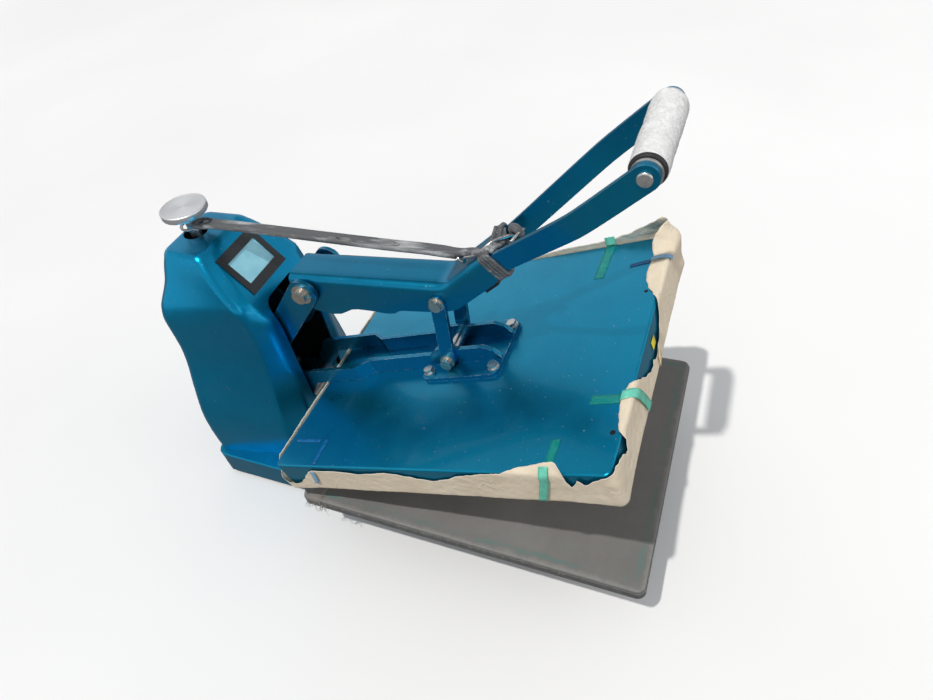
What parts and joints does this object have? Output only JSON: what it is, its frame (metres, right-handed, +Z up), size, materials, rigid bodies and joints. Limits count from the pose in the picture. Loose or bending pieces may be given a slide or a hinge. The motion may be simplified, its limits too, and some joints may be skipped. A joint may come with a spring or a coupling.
{
  "type": "heat press",
  "caption": "Clamshell heat press: hinged upper platen, padded lower platen, toggle lever with U handle, tapered rear housing with sloping display, pressure knob and switch.",
  "frame": {"origin": "on the table, under the middle of the press's footprint box, on its left-right middle plane", "axes": "+Z up; +Y from the operator towards the rear housing, the handle is at -Y; +X to the operator's right"},
  "size_m": [0.4104, 0.7412, 0.627],
  "materials": {
    "teal_paint": "metallic teal-blue powder coat, satin, chipped at edges",
    "teal_cover": "metallic teal-blue paint with light scratches",
    "dark_steel": "black painted steel",
    "zinc_steel": "zinc plated, slightly dulled",
    "warm_washer": "plated steel with coppery tarnish",
    "bright_steel": "polished pin",
    "spring_steel": "oiled spring wire",
    "knob_aluminium": "spun face with fine rings",
    "platen_aluminium": "machined",
    "lower_aluminium": "machined, edge oxidised",
    "pad_cloth": "silicone pad faced with grey woven glass cloth, rubbed",
    "black_rubber": "matte",
    "bezel_plastic": "fine texture",
    "display_face": "pale cyan lit panel",
    "black_plastic": "moulded",
    "rocker_plastic": "moulded",
    "foam": "closed-cell foam",
    "film": "crinkled clear wrapping film",
    "strap_rubber": "weathered ribbed strap",
    "wire": "bent wire",
    "insulation": "glass fibre blanket",
    "kraft_paper": "kraft paper, creased and torn along its top edge",
    "element": "sheathed heating rod"
  },
  "bodies": {
    "press_body": {"rubber_feet": "black_rubber", "base_rail_right": "dark_steel", "base_rail_left": "dark_steel", "base_cross_front": "dark_steel", "base_cross_rear": "dark_steel", "platen_supports": "dark_steel", "support_plate": "dark_steel", "lower_platen": "lower_aluminium", "platen_pad": "pad_cloth", "frame_plate_right": "dark_steel", "frame_plate_left": "dark_steel", "frame_tie_bars": "zinc_steel", "platen_hinge_shaft": "bright_steel", "shaft_collars": "zinc_steel", "yoke_pin": "zinc_steel", "screw_bracket": "dark_steel", "plinth_cover": "teal_paint", "rear_housing": "teal_paint", "display_bezel": "bezel_plastic", "display_panel": "display_face", "power_inlet": "black_plastic", "switch_body": "black_plastic", "lift_springs": "spring_steel", "strap_hook_rear": "wire", "strap_span": "strap_rubber"},
    "power_switch": {"switch_rocker": "rocker_plastic"},
    "pressure_adjuster": {"pressure_knob": "knob_aluminium", "pressure_screw": "zinc_steel"},
    "lever_yoke": {"yoke_plate_right": "teal_paint", "yoke_plate_left": "teal_paint", "yoke_spacer": "zinc_steel", "trunnion_nut": "zinc_steel", "lever_pivot_bolt": "warm_washer"},
    "handle_lever": {"lever_top_plate": "teal_paint", "lever_bar_right": "teal_paint", "lever_bar_left": "teal_paint", "lever_bush": "zinc_steel", "bump_stop": "black_rubber", "grip_tube": "zinc_steel", "grip_foam": "foam", "grip_film": "film", "grip_screws": "zinc_steel", "strap_hook_front": "wire", "strap_wrap": "strap_rubber"},
    "front_links": {"link_right": "teal_paint", "link_left": "teal_paint", "link_top_bolts": "warm_washer", "link_pin": "warm_washer"},
    "upper_platen": {"heat_platen": "platen_aluminium", "heating_element": "element", "insulation_blanket": "insulation", "platen_cover": "teal_cover", "bracket_plate": "teal_paint", "bracket_bolts": "zinc_steel", "platen_arm_right": "teal_paint", "platen_arm_left": "teal_paint", "ear_spacer": "bright_steel", "arm_hub": "zinc_steel", "spring_rod": "zinc_steel", "paper_wrap": "kraft_paper"}
  },
  "joints": [
    {"name": "platen_fold", "type": "hinge", "parent": "press_body", "child": "upper_platen", "pos_m": [0, 0.2183, 0.117], "axis": [1, 0, 0], "range_deg": [0, 20], "stiffness_Nm_per_rad": 60, "springref_deg": -74.48, "deforming": ["lift_springs"]},
    {"name": "link_swing", "type": "hinge", "parent": "upper_platen", "child": "front_links", "pos_m": [0, -0.0642, 0.2775], "axis": [1, 0, 0], "range_deg": [-71.6, 0]},
    {"name": "yoke_tilt", "type": "hinge", "parent": "press_body", "child": "lever_yoke", "pos_m": [0, 0.2333, 0.245], "axis": [1, 0, 0], "range_deg": [-0.64, 0.64]},
    {"name": "lever_swing", "type": "hinge", "parent": "lever_yoke", "child": "handle_lever", "pos_m": [0, 0.1353, 0.369], "axis": [1, 0, 0], "range_deg": [0, 44.06]},
    {"name": "knob_turn", "type": "hinge", "parent": "press_body", "child": "pressure_adjuster", "pos_m": [0, 0.3233, 0.43], "axis": [0, 0, 1], "range_deg": [-180, 180]},
    {"name": "switch_rock", "type": "hinge", "parent": "press_body", "child": "power_switch", "pos_m": [0.056, 0.3628, 0.029], "axis": [1, 0, 0], "range_deg": [0, 15.6]}
  ],
  "couplings": [
    {"joint": "link_swing", "follows": "platen_fold", "ratio": -3.577},
    {"joint": "lever_swing", "follows": "platen_fold", "ratio": 2.2026},
    {"joint": "yoke_tilt", "follows": "knob_turn", "ratio": 0.003537}
  ]
}
